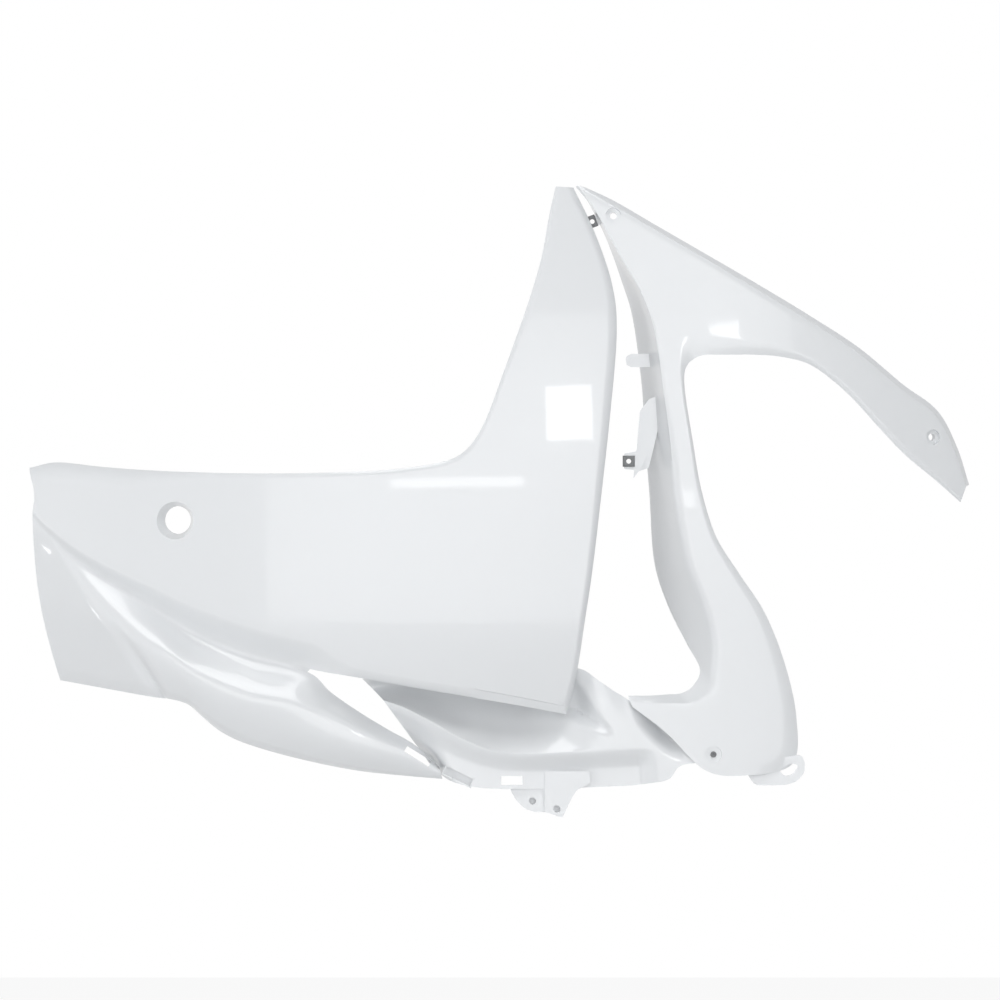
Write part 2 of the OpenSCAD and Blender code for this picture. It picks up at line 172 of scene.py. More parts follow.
CLIP_BARREL_DEEP = 4.5
BLADE_SLOT_AT = (216.0, -212.5)
BLADE_SLOT_TURN = 32.0
BLADE_SLOT = (26.0, 90.0, 5.5)
POCKET_AT = (252.5, -230.5)
POCKET_TURN = 26.0
POCKET_LONG = 26.0
POCKET_HIGH = 7.0
POCKET_Y = -6.0
POCKET_DEEP = 9.0
DUCT_SLOT_LOW = (291.0, -20.0, -238.5)
DUCT_SLOT_HIGH = (310.0, 40.0, -230.5)

# how far a cutting tool reaches past the piece that it cuts
PAST = 30.0

# mesh density: steps between two guide points, rows across a panel, and sides of a round tool
FINE = 10
TOP_ROWS = 9
MID_ROWS = 44
ZONE_ROWS = 19
DUCT_ROWS = (30, 26)
WALL_ROWS = 14
FACE_ROWS = (34, 9)
ROUND = 96

# photo and camera
PIXEL = 0.9
PHOTO_CENTRE = (500, 500)
ORIGIN_PIXEL = (178, 520)
CAMERA_FAR = 12.0
FRAME_W = 0.9

# stage
WORLD_LIGHT = 0.36
FLOOR_LOW = (-4000, -4000, -560)
FLOOR_HIGH = (4600, 4000, -555)
FLOOR_GLOW = 0.9

# guide curves, [x, z]
TOP_G = [(-135, 47), (-110, 52), (-70, 48), (-30, 45), (15, 43), (60, 42), (105, 42),
         (145, 43), (185, 45), (213, 48), (236, 52), (251, 57), (263, 67), (273, 82), (281, 100),
         (289, 122), (302, 158), (316, 198), (327, 236), (334, 274), (340, 301)]
LOW_G = [(-132, 0), (-106, -24), (-72, -49), (-30, -74), (15, -101), (66, -121), (119, -134),
         (165, -142), (215, -151), (262, -159), (308, -167), (350, -175)]
SIDE_G = [(350, -175), (359, -137), (366, -92), (373, -45), (380, 14), (389, 95),
          (395, 168), (391, 212), (375, 260), (356, 300)]
BLADE_G = [(-132, 0), (-106, -24), (-72, -49), (-30, -74), (15, -101), (66, -121),
           (119, -134), (140, -153), (165, -171), (190, -187), (213, -201), (235, -222)]
KEEL_G = [(-108, -145), (-25, -159), (-8, -161), (9, -166), (23, -178), (38, -190),
          (58, -200), (90, -210), (127, -219), (165, -226), (203, -230), (238, -233)]
CREASE_G = [(712, 30), (701, 64), (683, 96), (652, 119), (612, 152), (567, 181), (522, 208),
            (473, 237), (428, 263), (388, 286), (365, 297), (378, 275), (398, 238), (417, 205),
            (429, 171), (437, 117), (444, 63), (448, 14), (458, -39), (472, -76), (480, -108),
            (479, -136), (477, -154), (463, -164), (445, -165), (427, -165), (415, -164),
            (406, -162)]
INNER_G = [(707, 16), (684, 36), (656, 59), (632, 84), (603, 115), (572, 139), (545, 147),
           (520, 149), (500, 149), (486, 149), (476, 149), (468, 147), (463, 144), (459, 140),
           (456, 131), (457, 112), (464, 68), (471, 28), (484, -14), (505, -48), (528, -83),
           (546, -128), (557, -178), (553, -220), (510, -230), (474, -225), (440, -192),
           (409, -168)]
WALL_G = [(715, 32), (704, 66), (686, 99), (654, 123), (614, 156), (569, 185), (524, 212),
          (474, 241), (429, 267), (389, 290), (359, 302), (370, 286), (386, 254), (400, 216),
          (410, 182), (418, 122), (421, 72), (425, 23), (429, -36), (441, -76), (458, -111),
          (470, -134), (464, -149), (453, -156), (441, -157), (425, -158), (413, -158),
          (405, -158)]
DEEP_G = [(166, -143), (190, -140), (215, -140), (240, -140), (265, -140), (290, -139),
          (315, -138), (340, -134), (362, -134), (378, -144), (391, -153), (404, -161),
          (418, -171), (438, -178), (460, -186)]
RIDGE_G = [(185, -162), (205, -169), (228, -181), (253, -195), (279, -206), (303, -210),
           (325, -210), (345, -209), (365, -208), (387, -207), (406, -206), (422, -205),
           (438, -204), (456, -206), (474, -209)]
BASE_G = [(226, -219), (240, -232), (255, -238), (272, -241), (290, -242), (306, -242),
          (325, -242), (345, -242), (362, -241), (388, -240), (408, -239), (424, -237),
          (442, -233), (453, -221), (479, -218)]


# small functions over numbers or arrays
def mix(a, b, t):
    return a + (b - a) * t


def clip01(t):
    return np.clip(t, 0.0, 1.0)


def ease(t):
    s = clip01(t)
    return s * s * (3 - 2 * s)


def bump(t):
    return np.where((t <= 0) | (t >= 1), 0.0, np.sin(np.pi * clip01(t)) ** 2)


def along(guide, u):
    """Points of a smooth curve through the guide's points, at places counted in points."""
    g = np.array(guide, float)
    last = len(g) - 1
    padded = np.vstack([2 * g[0] - g[1], g, 2 * g[last] - g[last - 1]])
    u = np.asarray(u, float)
    i = np.clip(np.floor(u).astype(int), 0, last - 1)
    t = (u - i)[..., None]
    a = padded[i]
    b = padded[i + 1]
    c = padded[i + 2]
    d = padded[i + 3]
    return b + 0.5 * t * ((c - a) + t * ((2 * a - 5 * b + 4 * c - d) + t * (3 * (b - c) + d - a)))


def place(flat, y):
    """Joins [x, z] points and their depths into [x, y, z]."""
    return np.stack([flat[..., 0], y, flat[..., 1]], axis=-1)


# outer face of the outer panel
def crown(x, z):
    side = np.where(
        x < CREST_X,
        REAR_SWEEP * ((CREST_X - x) / REAR_SPAN) ** 2,
        FRONT_SWEEP * ((x - CREST_X) / FRONT_SPAN) ** 2,
    )
    lean = TOP_LEAN * (np.maximum(z - LEAN_Z, 0) / LEAN_SPAN) ** 2
    tuck = LOW_TUCK * (np.maximum(LEAN_Z - z, 0) / TUCK_SPAN) ** 2
    return side + lean + tuck


def face_y(x, z):
    return crown(x, z) - crown(np.float64(0), np.float64(0)) - SEAT_BACK


def ridge_x(z):
    """The rear facet's edge, a straight line from FACET_TOP to FACET_LOW."""
    across = FACET_LOW[0] - FACET_TOP[0]
    down = FACET_TOP[1] - FACET_LOW[1]
    return FACET_TOP[0] + (FACET_TOP[1] - z) * across / down


def facet_y(x, z):
    return FACET_SLOPE * np.maximum(ridge_x(z) - x, 0) * clip01(-z / FACET_FADE)


def edge_low(u):
    below = along(LOW_G, np.minimum(u, CORNER_U))
    beside = along(SIDE_G, np.maximum(u - CORNER_U, 0))
    return np.where((u <= CORNER_U)[..., None], below, beside)


def zone_w(u):
    """The width of the band along the lower and right edges: the valley, then the rolled rim."""
    valley = mix(*VALLEY_W, ease((u - 1) / 4))
    return np.where(u > 7, HEM_W, mix(valley, HEM_W, ease(u - 6)))


def valley_part(u):
    return mix(0.2, 1, ease(u / 4.5))


def zone_y(u, q):
    """The depth over that band, where q runs from 0 to 1 at the edge."""
    in_step = ease((u - 9) / 0.4) * (1 - ease((u - 10.9) / 0.2))
    valley = VALLEY_DEEP * valley_part(u) * ease(q) * (1 - ease((u - 5.6) / 1.2))
    hem = HEM_DEEP * q ** 2 * ease((u - 6) / 1.2) * (1 - in_step)
    step = (JOGGLE * clip01(q / JOGGLE_RAMP) + JOGGLE_TILT * q) * in_step
    return valley + hem + step


def rear_top(u):
    return 1 - ease((u - 2.5) / 2)


def top_w(u):
    return mix(*TOP_W, rear_top(u))


def top_roll(u):
    return mix(*TOP_ROLL, rear_top(u))


def main_rows(u):
    """The rows of the main face, from the upper edge to the lower or right edge."""
    a = along(TOP_G, u)
    b = edge_low(u)
    length = np.linalg.norm(b - a, axis=-1)
    band = np.minimum(top_w(u), length * 0.2)
    zone = np.minimum(zone_w(u), length * 0.35)
    rows = []

    def add(s, q):
        m = mix(a, b, (s / length)[:, None])
        m[:, 0] += NUB_IN * bump(s / length) * (1 - clip01(u))
        roll = 1 - clip01(s / band)
        y = face_y(m[:, 0], m[:, 1]) + facet_y(m[:, 0], m[:, 1])
        y = y + zone_y(u, q) * zone / zone_w(u)
        y = y + band / top_w(u) * top_roll(u) * roll * roll
        rows.append(place(m, y))

    for part in np.linspace(0, 1, TOP_ROWS):
        add(band * part, 0.0)
    for k in range(1, MID_ROWS):
        add(mix(band, length - zone, k / MID_ROWS), 0.0)
    for q in np.linspace(0, 1, ZONE_ROWS):
        add(length - zone * (1 - q), q)
    return rows


BLADE_T = np.concatenate([np.linspace(0.04, 0.88, 30), np.linspace(BLADE_ROLL_AT, 1.0, 7)])


def blade_form(u, t):
    sharp = mix(0.55, 0.3, ease((u - 5) / 3))
    valley = VALLEY_DEEP * valley_part(u) * (1 - ease(t / sharp)) * mix(1, 0.7, ease((u - 9) / 2))
    swell = BLADE_OUT * np.sin(np.pi * t ** 1.3) * ease(u / 2.5) * (1 - 0.7 * ease((u - 8) / 3))
    dent = BLADE_DENT * bump((u - 1) / 1.2) * ease((t - 0.5) / 0.35)
    rolled = clip01((t - BLADE_ROLL_AT) / (1 - BLADE_ROLL_AT)) ** 2
    roll = HEM_DEEP * rolled * (1 - 0.8 * ease((u - 8) / 3))
    return valley - swell + dent + roll


def blade_row(u, t):
    m = mix(along(BLADE_G, u), along(KEEL_G, u), t)
    x = m[:, 0] - REAR_BOW * math.sin(math.pi * t) * (1 - clip01(u))
    y = face_y(x, m[:, 1]) + facet_y(x, m[:, 1]) + blade_form(u, t)
    return np.stack([x, y, m[:, 1]], axis=-1)


# outer face of the front panel
def leg_y(x, z):
    up = LEG_LEAN * (np.maximum(z - LEG_LEAN_Z, 0) / LEG_LEAN_SPAN) ** 1.6
    return LEG_Y + up + ARM_SWEEP * (np.maximum(x - ARM_FROM_X, 0) / ARM_SPAN) ** 2


def wall_part(u):
    """The depth of the return wall along the arm, the peak, the leg and the foot."""
    arm = mix(ARM_RETURN, PEAK_RETURN, ease((u - 8) / 2))
    leg = mix(PEAK_RETURN, LEG_WALL, ease((u - PEAK_U) / 3.5))
    low = mix(LEG_WALL, LOW_WALL, ease((u - 18) / 4))
    foot = mix(LOW_WALL, FOOT_WALL, ease((u - 24) / 2))
    return np.where(u <= PEAK_U, arm, np.where(u < 16, leg, np.where(u < 24, low, foot)))


def crease_soft(u):
    """How far the edge between face and wall is rounded back."""
    return mix(*CREASE_SOFT, ease((u - 14) / 4)) * (1 - 0.9 * ease((u - 21) / 1.5))


def front_wall_row(u, t):
    crease = along(CREASE_G, u)
    m = mix(along(WALL_G, u), crease, t)
    y = leg_y(crease[:, 0], crease[:, 1]) + crease_soft(u) + wall_part(u) * (1 - t)
    return place(m, y)


def front_face_row(u, t):
    crease = along(CREASE_G, u)
    inner = along(INNER_G, u)
    m = mix(crease, inner, t)
    rolled = clip01((t - INNER_ROLL_AT) / (1 - INNER_ROLL_AT)) ** 2
    roll = INNER_ROLL * rolled * (1 - ease((u - 22.5) / 1.5))
    reach = t * np.linalg.norm(inner - crease, axis=-1) / CREASE_W
    soft = crease_soft(u) * (1 - clip01(reach)) ** 2
    return place(m, leg_y(m[:, 0], m[:, 1]) + roll + soft)


# outer face of the duct panel
def seat_y(x, z):
    return face_y(x, z) + HEM_DEEP + WALL * 1.5 + CLEAR


def foot_seat(x, z):
    return leg_y(x, z) + WALL + CLEAR


def duct_seat(k, p):
    return mix(seat_y(p[:, 0], p[:, 1]), foot_seat(p[:, 0], p[:, 1]), ease((k - 8) / 3))


def end_wall(k, t):
    """The channel's end wall, a face that turns down and runs out to a point on the right."""
    top = 0.2 + 0.35 * (k - 8)
    low = 0.52 + 0.12 * (k - 8)
    high = END_DEEP * clip01((9.4 - k) / 1.6) * ease((k - 6.5) / 1.5)
    return high * clip01((t - top) / np.maximum(low - top, 0.05)) * (1 - ease((t - low) / 0.18))


def seam_dent(p):
    """The hollow beside the foot's seam."""
    d = p - np.array(DENT_AT)
    a = (d[:, 0] - d[:, 1]) * math.sqrt(0.5)
    b = (d[:, 0] + d[:, 1]) * math.sqrt(0.5)
    return DENT_DEEP * np.exp(-(a / DENT_SIZE[0]) ** 2 - (b / DENT_SIZE[1]) ** 2)


def duct_row(k, t):
    """A row of the duct: the channel for t from 0 to 1, and the base below the ridge to 2."""
    d = along(DEEP_G, k)
    r = along(RIDGE_G, k)
    b = along(BASE_G, k)
    ridge = mix(RIDGE_Y, foot_seat(r[:, 0], r[:, 1]), ease((k + 1) / 10))
    if t < 1:
        m = mix(d, r, t)
        far = CHANNEL_DEEP * (1 - ease((k - 5.5) / 2)) * mix(0.4, 1, ease(k / 2.5))
        deep = duct_seat(k, d) + CORNER_ROOM * bump((k - 7) / 1.8) + far
        hollow = CHANNEL_DEEP * 0.5 * (1 - ease((k - 7) / 2))
        free = mix(deep, ridge, ease(t)) + hollow * math.sin(math.pi * t) + end_wall(k, t)
    else:
        m = mix(r, b, t - 1)
        tip = TIP_DEEP * ease((t - 1.5) / 0.3) * (1 - ease((k - 0.75) / 0.9))
        groove = GROOVE_DEEP + START_DEEP * (1 - ease(k / 2)) + tip
        free = ridge + groove * ease((t - 1) / 0.5)
    y = mix(free, foot_seat(m[:, 0], m[:, 1]), ease((k - 10.4) / 1.2)) + seam_dent(m)
    return place(m, y)


# meshes
def shell(name, rows, used):
    """A closed thin shell over a grid of points, with open cells where used is False."""
    p = np.array(rows)
    count_i, count_j = p.shape[:2]
    d_u = np.gradient(p, axis=1)
    d_v = np.gradient(p, axis=0)
    n = np.cross(d_u, d_v)
    n_y = np.abs(n[..., 1]) / np.maximum(np.linalg.norm(n, axis=-1), 1e-9)
    back = p.copy()
    back[..., 1] += WALL / np.maximum(n_y, STEEP)
    base = count_i * count_j
    faces = []
    for i in range(count_i - 1):
        for j in range(count_j - 1):
            if not used[i, j]:
                continue
            a = i * count_j + j
            b = a + 1
            c = a + count_j + 1
            d = a + count_j
            faces.append((a, d, c, b))
            faces.append((base + a, base + b, base + c, base + d))
            if i == 0 or not used[i - 1, j]:
                faces.append((a, b, base + b, base + a))
            if i == count_i - 2 or not used[i + 1, j]:
                faces.append((c, d, base + d, base + c))
            if j == 0 or not used[i, j - 1]:
                faces.append((d, a, base + a, base + d))
            if j == count_j - 2 or not used[i, j + 1]:
                faces.append((b, c, base + c, base + b))
    points = np.concatenate([p.reshape(-1, 3), back.reshape(-1, 3)]) * MM
    mesh = bpy.data.meshes.new(name)
    mesh.from_pydata(points.tolist(), [], faces)
    bm = bmesh.new()
    bm.from_mesh(mesh)
    loose = [v for v in bm.verts if not v.link_faces]
    bmesh.ops.delete(bm, geom=loose, context="VERTS")
    bmesh.ops.recalc_face_normals(bm, faces=bm.faces)
    bm.to_mesh(mesh)
    bm.free()
    return new_object(name, mesh)


def new_object(name, mesh):
    obj = bpy.data.objects.new(name, mesh)
    bpy.context.scene.collection.objects.link(obj)
    return obj


def on_face(x, y, z, turn=0.0, nod=0.0):
    """A local frame in metres: +Z points outward, the origin is on the outer face."""
    spin = Matrix.Rotation(math.radians(turn), 4, "Z") @ Matrix.Rotation(math.radians(nod), 4, "X")
    return Matrix.Translation(Vector((x, y, z)) * MM) @ spin @ Matrix.Rotation(math.pi / 2, 4, "X")


def turned(name, profile, where, sides=ROUND):
    """A solid of revolution about local Z; the profile is [radius, height], axis to axis."""
    bm = bmesh.new()
    rings = []
    for r, h in profile:
        if r == 0:
            rings.append([bm.verts.new((0, 0, h * MM))])
            continue
        ring = []
        for k in range(sides):
            a = 2 * math.pi * k / sides
            ring.append(bm.verts.new((r * MM * math.cos(a), r * MM * math.sin(a), h * MM)))
        rings.append(ring)
    for low, high in zip(rings, rings[1:]):
        for k in range(sides):
            m = (k + 1) % sides
            if len(low) == 1:
                bm.faces.new((low[0], high[k], high[m]))
            elif len(high) == 1:
                bm.faces.new((low[k], high[0], low[m]))
            else:
                bm.faces.new((low[k], high[k], high[m], low[m]))
    bmesh.ops.recalc_face_normals(bm, faces=bm.faces)
    bmesh.ops.transform(bm, matrix=where, verts=bm.verts)
    mesh = bpy.data.meshes.new(name)
    bm.to_mesh(mesh)
    bm.free()
    return new_object(name, mesh)


def rod(radius, top, low):
    """The profile of a plain cylinder between two heights."""
    return [(0, top), (radius, top), (radius, low), (0, low)]


def rounded(corners, radius, steps=5):
    """The same outline with each corner replaced by a short arc."""
    out = []
    count = len(corners)
    for k in range(count):
        here = np.array(corners[k], float)
        before = np.array(corners[k - 1], float) - here
        after = np.array(corners[(k + 1) % count], float) - here
        cut = min(radius, np.linalg.norm(before) * 0.45, np.linalg.norm(after) * 0.45)
        start = here + before / np.linalg.norm(before) * cut
        end = here + after / np.linalg.norm(after) * cut
        for s in np.linspace(0, 1, steps):
            out.append(tuple((1 - s) ** 2 * start + 2 * s * (1 - s) * here + s ** 2 * end))
    return out


def plate(name, outline, y, thick):
    """A flat plate that faces the front; the outline is [x, z]."""
    bm = bmesh.new()
    verts = [bm.verts.new((x * MM, y * MM, z * MM)) for x, z in outline]
    face = bm.faces.new(verts)
    made = bmesh.ops.extrude_face_region(bm, geom=[face])
    moved = [v for v in made["geom"] if isinstance(v, bmesh.types.BMVert)]
    bmesh.ops.translate(bm, verts=moved, vec=(0, thick * MM, 0))
    bmesh.ops.recalc_face_normals(bm, faces=bm.faces)
    mesh = bpy.data.meshes.new(name)
    bm.to_mesh(mesh)
    bm.free()
    return new_object(name, mesh)


def box(name, low, high):
    bm = bmesh.new()
    made = bmesh.ops.create_cube(bm, size=1.0)
    centre = (Vector(low) + Vector(high)) / 2 * MM
    size = (Vector(high) - Vector(low)) * MM
    bmesh.ops.scale(bm, vec=size, verts=made["verts"])
    bmesh.ops.translate(bm, vec=centre, verts=made["verts"])
    mesh = bpy.data.meshes.new(name)
    bm.to_mesh(mesh)
    bm.free()
    return new_object(name, mesh)


def tilted_box(name, low, high, at, y, turn):
    """A box in its own frame, turned about Y and set at [x, z]."""
    obj = box(name, low, high)
    spin = Matrix.Rotation(math.radians(turn), 4, "Y")
    obj.data.transform(Matrix.Translation(Vector((at[0], y, at[1])) * MM) @ spin)
    return obj


def apply_modifiers(obj):
    graph = bpy.context.evaluated_depsgraph_get()
    mesh = bpy.data.meshes.new_from_object(obj.evaluated_get(graph))
    obj.modifiers.clear()
    obj.data = mesh


def combine(obj, tool, operation):
    """Joins the tool to the object, or cuts it out, and removes the tool."""
    mod = obj.modifiers.new("combine", "BOOLEAN")
    mod.operation = operation
    mod.solver = "EXACT"
    mod.object = tool
    apply_modifiers(obj)
    bpy.data.objects.remove(tool)


def soften(obj, width=0.5, angle=38):
    """Rounds the hard edges and shades the rest smooth."""
    mod = obj.modifiers.new("edge", "BEVEL")
    mod.width = width * MM
    mod.segments = 2
    mod.limit_method = "ANGLE"
    mod.angle_limit = math.radians(angle)
    mod.use_clamp_overlap = True
    apply_modifiers(obj)
    for poly in obj.data.polygons:
        poly.use_smooth = True
    obj.data.set_sharp_from_angle(angle=math.radians(angle))


# materials
def surface(name, colour, **sockets):
    mat = bpy.data.materials.new(name)
    mat.use_nodes = True
    shader = mat.node_tree.nodes["Principled BSDF"]
    shader.inputs["Base Color"].default_value = (*colour, 1)
    for key, value in sockets.items():
        shader.inputs[key.replace("_", " ").title()].default_value = value
    return mat


WHITE_PLASTIC = surface(
    "white_plastic", (0.80, 0.815, 0.83), roughness=0.28, coat_weight=0.7, coat_roughness=0.035
)
DARK_STEEL = surface("dark_steel", (0.16, 0.165, 0.17), roughness=0.45, metallic=0.5)


def finish_piece(obj, material, node):
    obj.data.materials.clear()
    obj.data.materials.append(material)
    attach(obj, "root")
    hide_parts(node)


# outer panel
def make_outer_panel():
    u = np.linspace(0, LAST_U, LAST_U * FINE + 1)
    u_blade = np.minimum(u, CORNER_U)
    main = main_rows(u)
    rows = main + [blade_row(u_blade, t) for t in BLADE_T]
    used = np.ones((len(rows) - 1, len(u) - 1), bool)
    used[len(main) - 1, SLOT_U * FINE:] = False
    used[len(main):, CORNER_U * FINE:] = False
    obj = shell("outer_panel_skin", rows, used)
    here = on_face(0, 0, 0, -REAR_TILT)
    slope = (MOUTH_R - REAR_BORE_R) / CONE_DEEP
    face = FACE_UP - COLLAR_START
    neck = FACE_UP - CONE_DEEP
    back = FACE_UP - COLLAR_DEEP
    tube_r = REAR_BORE_R + COLLAR_WALL
    cone_r = MOUTH_R - slope * COLLAR_START + COLLAR_WALL
    collar = [(0, face), (cone_r, face), (tube_r, neck), (tube_r, back), (0, back)]
    combine(obj, turned("collar", collar, here), "UNION")
    out = 3
    end = back - 15
    drill = [(0, FACE_UP + out), (MOUTH_R + slope * out, FACE_UP + out),
             (REAR_BORE_R, neck), (REAR_BORE_R, end), (0, end)]
    combine(obj, turned("drill", drill, here), "DIFFERENCE")
    half = np.array(BLADE_SLOT) / 2
    slot = tilted_box("blade_slot", -half, half, BLADE_SLOT_AT, 0, BLADE_SLOT_TURN)
    combine(obj, slot, "DIFFERENCE")
    soften(obj)
    finish_piece(obj, WHITE_PLASTIC, "outer_panel")


# duct panel
def pocket(name, grow, start, end):
    """The blind pocket beside the blade's tip, or with grow the wall round it."""
    low = (-POCKET_LONG / 2 - grow, start, -POCKET_HIGH / 2 - grow)
    high = (POCKET_LONG / 2 + grow, end, POCKET_HIGH / 2 + grow)
    return tilted_box(name, low, high, POCKET_AT, POCKET_Y, POCKET_TURN)


def make_duct_panel():
    k = np.linspace(0, len(DEEP_G) - 1, (len(DEEP_G) - 1) * FINE + 1)
    upper = list(np.linspace(0, 1, DUCT_ROWS[0])[:-1])
    lower = list(np.linspace(1, 2, DUCT_ROWS[1]))
    rows = [duct_row(k, t) for t in upper + lower]
    used = np.ones((len(rows) - 1, len(k) - 1), bool)
    obj = shell("duct_panel_skin", rows, used)
    tab_a = rounded([(299, -232), (299, -243), (304, -252), (312, -260), (321, -263),
                     (332, -263), (332, -228), (305, -228)], 3)
    combine(obj, plate("tab_a", tab_a, TAB_Y, TAB_WALL), "UNION")
    tab_b = rounded([(331, -226), (331, -263), (346, -268), (354, -251), (359, -243),
                     (371, -237), (371, -226)], 2)
    combine(obj, plate("tab_b", tab_b, TAB_Y - TAB_STEP, TAB_WALL), "UNION")
    web = [(330, -226), (330, -263), (333, -264), (333, -226)]
    combine(obj, plate("web", web, TAB_Y - TAB_STEP, TAB_STEP + TAB_WALL), "UNION")
    for at, y in ((TAB_A, TAB_Y), (TAB_B, TAB_Y - TAB_STEP)):
        here = on_face(at[0], y, at[1])
        boss = rod(SCREW_BORE_R + TAB_BOSS_WALL, -1, -TAB_WALL - TAB_BOSS_DEEP)
        combine(obj, turned("boss", boss, here), "UNION")
        hole = rod(SCREW_BORE_R, 5, -BLIND_DEEP)
        combine(obj, turned("hole", hole, here), "DIFFERENCE")
    here = on_face(FOOT_AT[0], leg_y(*FOOT_AT), FOOT_AT[1], FOOT_TURN)
    boss = rod(FOOT_BOSS_R, -FOOT_BOSS_START, -FOOT_BOSS_DEEP)
    combine(obj, turned("boss", boss, here), "UNION")
    combine(obj, pocket("pocket_wall", BOSS_WALL, 4, POCKET_DEEP + BOSS_WALL), "UNION")
    combine(obj, pocket("pocket", 0, -12, POCKET_DEEP), "DIFFERENCE")
    combine(obj, turned("hole", rod(FOOT_BORE_R, 10, -PAST), here), "DIFFERENCE")
    combine(obj, box("slot", DUCT_SLOT_LOW, DUCT_SLOT_HIGH), "DIFFERENCE")
    soften(obj)
    finish_piece(obj, WHITE_PLASTIC, "duct_panel")


# front panel
def make_front_panel():
    u = np.linspace(0, CREASE_END, CREASE_END * FINE + 1)[::-1]
    rows = [front_wall_row(u, t) for t in np.linspace(0, 1, WALL_ROWS)]
    rows += [front_face_row(u, t) for t in np.linspace(0, INNER_ROLL_AT, FACE_ROWS[0])[1:]]
    rows += [front_face_row(u, t) for t in np.linspace(INNER_ROLL_AT, 1, FACE_ROWS[1])[1:]]
    used = np.ones((len(rows) - 1, len(u) - 1), bool)
    obj = shell("front_panel_skin", rows, used)
    upper = on_face(UPPER_AT[0], leg_y(*UPPER_AT), UPPER_AT[1], 0, UPPER_NOD)
    arm = on_face(ARM_AT[0], leg_y(*ARM_AT), ARM_AT[1], ARM_TURN)
    foot = on_face(FOOT_AT[0], leg_y(*FOOT_AT), FOOT_AT[1], FOOT_TURN)
    for here in (upper, arm):
        boss = rod(RECESS_R + BOSS_WALL, -BOSS_START, -BOSS_DEEP)
        combine(obj, turned("boss", boss, here), "UNION")
    turn = math.radians(CLIP_TURN)
    tab = [(TOP_CLIP_AT[0] + x * math.cos(turn) - z * math.sin(turn),
            TOP_CLIP_AT[1] + x * math.sin(turn) + z * math.cos(turn))
           for x, z in ((-4.2, -5), (-4.2, 4.1), (6, 4.1), (17, 6), (17, -8), (6, -5))]
    combine(obj, plate("tab", rounded(tab, 1), CLIP_TAB_Y, WALL), "UNION")
    bracket = rounded([(432, 112), (424, 109), (416, 98), (413, 62), (401.7, 60), (401.7, 46),
                       (411, 45), (410, 37), (415, 44), (424, 47), (432, 80)], 1.5)
    combine(obj, plate("bracket", bracket, BRACKET_Y, WALL), "UNION")
    nub = rounded([(403, 147), (404, 140), (408, 138), (427, 138), (426, 150), (408, 150)], 2)
    combine(obj, plate("nub", nub, NUB_Y, WALL), "UNION")
    loop_y = leg_y(545, -222) + 1
    loop = plate("loop", rounded([(511, -226), (519, -239), (546, -239), (557, -236), (564, -228),
                                  (565, -219), (561, -211), (545, -214)], 5), loop_y, 6)
    eye = plate("eye", rounded([(541, -225), (546, -231), (554, -229), (559, -221),
                                (552, -219)], 3), loop_y - 20, 60)
    combine(loop, eye, "DIFFERENCE")
    combine(obj, loop, "UNION")
    for here, r, deep, bore in ((upper, RECESS_R, RECESS_DEEP, SCREW_BORE_R),
                                (arm, RECESS_R, RECESS_DEEP, SCREW_BORE_R),
                                (foot, FOOT_RECESS_R, FOOT_RECESS, FOOT_BORE_R)):
        drill = [(0, 8), (r, 8), (r, -deep), (bore, -deep), (bore, -PAST), (0, -PAST)]
        combine(obj, turned("drill", drill, here), "DIFFERENCE")
    for at, y in ((TOP_CLIP_AT, CLIP_TAB_Y), (LEG_CLIP_AT, BRACKET_Y)):
        hole = turned("hole", rod(CLIP_BORE_R, 10, -10), on_face(at[0], y, at[1]))
        combine(obj, hole, "DIFFERENCE")
    soften(obj)
    finish_piece(obj, WHITE_PLASTIC, "front_panel")


# fasteners
def make_clip(node, at, y, turn, wide):
    """A folded clip nut over a plate whose front is at y, with its threaded barrel behind."""
    here = on_face(at[0], y + WALL / 2, at[1]) @ Matrix.Rotation(math.radians(turn), 4, "Z")
    slot = WALL + CLEAR
    thick = slot / 2 + CLIP_SHEET
    half = CLIP_LONG / 2
    obj = box(node + "_sheet", (-wide / 2, -half, -thick), (wide / 2, half, thick))
    start = -slot / 2 - CLIP_BARREL_START
    barrel = rod(CLIP_BARREL_R, start, -slot / 2 - CLIP_BARREL_DEEP)
    combine(obj, turned("barrel", barrel, Matrix.Identity(4)), "UNION")
    gap = box("gap", (-wide, -half - 1, -slot / 2), (wide, half - CLIP_SHEET, slot / 2))
    combine(obj, gap, "DIFFERENCE")
    hole = turned("hole", rod(CLIP_THREAD_R, 12, -12), Matrix.Identity(4))
    combine(obj, hole, "DIFFERENCE")
    obj.data.transform(here)
    soften(obj, 0.25)
    finish_piece(obj, DARK_STEEL, node)


def make_foot_screw():
    here = on_face(FOOT_AT[0], leg_y(*FOOT_AT), FOOT_AT[1], FOOT_TURN)
    seat = -FOOT_RECESS
    shank = FOOT_BORE_R - CLEAR
    shape = [(0, 0), (FOOT_HEAD_R, 0), (FOOT_HEAD_R, seat), (shank, seat),
             (shank, seat - FOOT_LONG), (0, seat - FOOT_LONG)]
    obj = turned("foot_screw_body", shape, here)
    socket = turned("socket", rod(FOOT_HEX_R, 4, seat / 2), here, 6)
    combine(obj, socket, "DIFFERENCE")
    soften(obj, 0.2)
    finish_piece(obj, DARK_STEEL, "foot_screw")


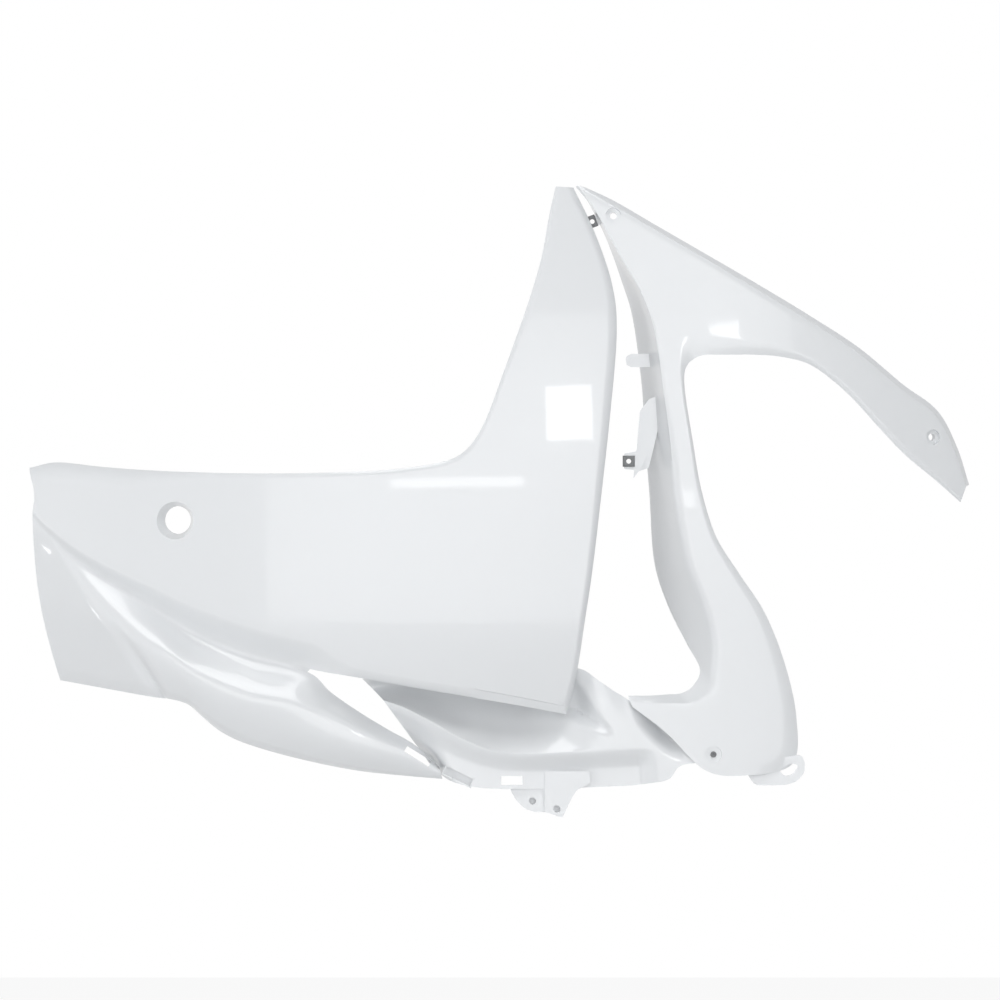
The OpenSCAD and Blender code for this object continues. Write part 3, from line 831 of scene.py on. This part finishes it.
# stage, lamps and camera
def seen_ray(nodes, links):
    """One for camera, glossy and transmission rays, which see the plain white background."""
    path = nodes.new("ShaderNodeLightPath")
    first = nodes.new("ShaderNodeMath")
    first.operation = "MAXIMUM"
    links.new(path.outputs["Is Camera Ray"], first.inputs[0])
    links.new(path.outputs["Is Glossy Ray"], first.inputs[1])
    both = nodes.new("ShaderNodeMath")
    both.operation = "MAXIMUM"
    links.new(first.outputs[0], both.inputs[0])
    links.new(path.outputs["Is Transmission Ray"], both.inputs[1])
    return both.outputs[0]


def make_stage():
    world = bpy.data.worlds.new("studio")
    bpy.context.scene.world = world
    world.use_nodes = True
    nodes = world.node_tree.nodes
    links = world.node_tree.links
    nodes.clear()
    light = nodes.new("ShaderNodeBackground")
    light.inputs["Color"].default_value = (0.96, 0.98, 1.0, 1)
    light.inputs["Strength"].default_value = WORLD_LIGHT
    white = nodes.new("ShaderNodeBackground")
    white.inputs["Strength"].default_value = 1.0
    white.inputs["Color"].default_value = (1, 1, 1, 1)
    pick = nodes.new("ShaderNodeMixShader")
    out = nodes.new("ShaderNodeOutputWorld")
    links.new(seen_ray(nodes, links), pick.inputs["Fac"])
    links.new(light.outputs["Background"], pick.inputs[1])
    links.new(white.outputs["Background"], pick.inputs[2])
    links.new(pick.outputs["Shader"], out.inputs["Surface"])

    paint = surface("floor", (0.9, 0.9, 0.9), roughness=0.8)
    nodes = paint.node_tree.nodes
    links = paint.node_tree.links
    glow = nodes.new("ShaderNodeEmission")
    glow.inputs["Strength"].default_value = 1.0
    glow.inputs["Color"].default_value = (1, 1, 1, 1)
    share = nodes.new("ShaderNodeMath")
    share.operation = "MULTIPLY"
    share.inputs[1].default_value = FLOOR_GLOW
    blend = nodes.new("ShaderNodeMixShader")
    links.new(seen_ray(nodes, links), share.inputs[0])
    links.new(share.outputs[0], blend.inputs["Fac"])
    links.new(nodes["Principled BSDF"].outputs["BSDF"], blend.inputs[1])
    links.new(glow.outputs["Emission"], blend.inputs[2])
    links.new(blend.outputs["Shader"], nodes["Material Output"].inputs["Surface"])
    floor = box("floor", FLOOR_LOW, FLOOR_HIGH)
    floor.data.materials.append(paint)


def softbox(name, place_m, target_m, size, watts, glossy=True):
    """An area lamp that the camera doesn't see; without glossy it isn't reflected either."""
    data = bpy.data.lights.new(name, "AREA")
    data.shape = "RECTANGLE"
    data.size = size[0]
    data.size_y = size[1]
    data.energy = watts
    lamp = bpy.data.objects.new(name, data)
    lamp.location = place_m
    lamp.rotation_euler = (Vector(target_m) - Vector(place_m)).to_track_quat("-Z", "Y").to_euler()
    lamp.visible_camera = False
    lamp.visible_glossy = glossy
    bpy.context.scene.collection.objects.link(lamp)


def make_camera():
    data = bpy.data.cameras.new("camera")
    data.sensor_width = 36.0
    data.lens = data.sensor_width * CAMERA_FAR / FRAME_W  # FRAME_W is the picture's width in metres
    data.clip_end = 100
    cam = bpy.data.objects.new("camera", data)
    x = (PHOTO_CENTRE[0] - ORIGIN_PIXEL[0]) * PIXEL * MM
    z = (ORIGIN_PIXEL[1] - PHOTO_CENTRE[1]) * PIXEL * MM
    cam.location = (x, -CAMERA_FAR, z)
    cam.rotation_euler = (math.pi / 2, 0, 0)
    bpy.context.scene.collection.objects.link(cam)
    bpy.context.scene.camera = cam
    return Vector((x, 0, z))


centre = make_camera()
make_stage()
softbox("front", centre + Vector((0.5, -3.6, -0.1)), centre, (3.4, 3.4), 50)
softbox("left", centre + Vector((-3.0, -1.8, -0.2)), centre, (1.6, 1.6), 30, False)
softbox("low", centre + Vector((0.1, -2.2, -0.3)), centre, (1.8, 0.2), 2.5, False)
softbox("above", centre + Vector((0.3, -1.6, 3.0)), centre, (1.6, 1.6), 26)
softbox("window", (1.378, -2.72, 0.775), (0.353, 0.02, 0.099), (0.29, 0.27), 1.6)
softbox("strip", (0.70, -2.95, 0.45), (0.245, 0, 0.025), (0.85, 0.05), 0.6)
softbox("side", (-1.16, -0.222, -0.42), (-0.09, 0.017, -0.07), (0.08, 0.13), 0.3)
make_outer_panel()
make_duct_panel()
make_front_panel()
make_clip("top_clip", TOP_CLIP_AT, CLIP_TAB_Y, CLIP_TURN, TOP_CLIP_W)
make_clip("leg_clip", LEG_CLIP_AT, BRACKET_Y, 90, LEG_CLIP_W)
make_foot_screw()
bpy.context.scene.view_settings.view_transform = "Standard"
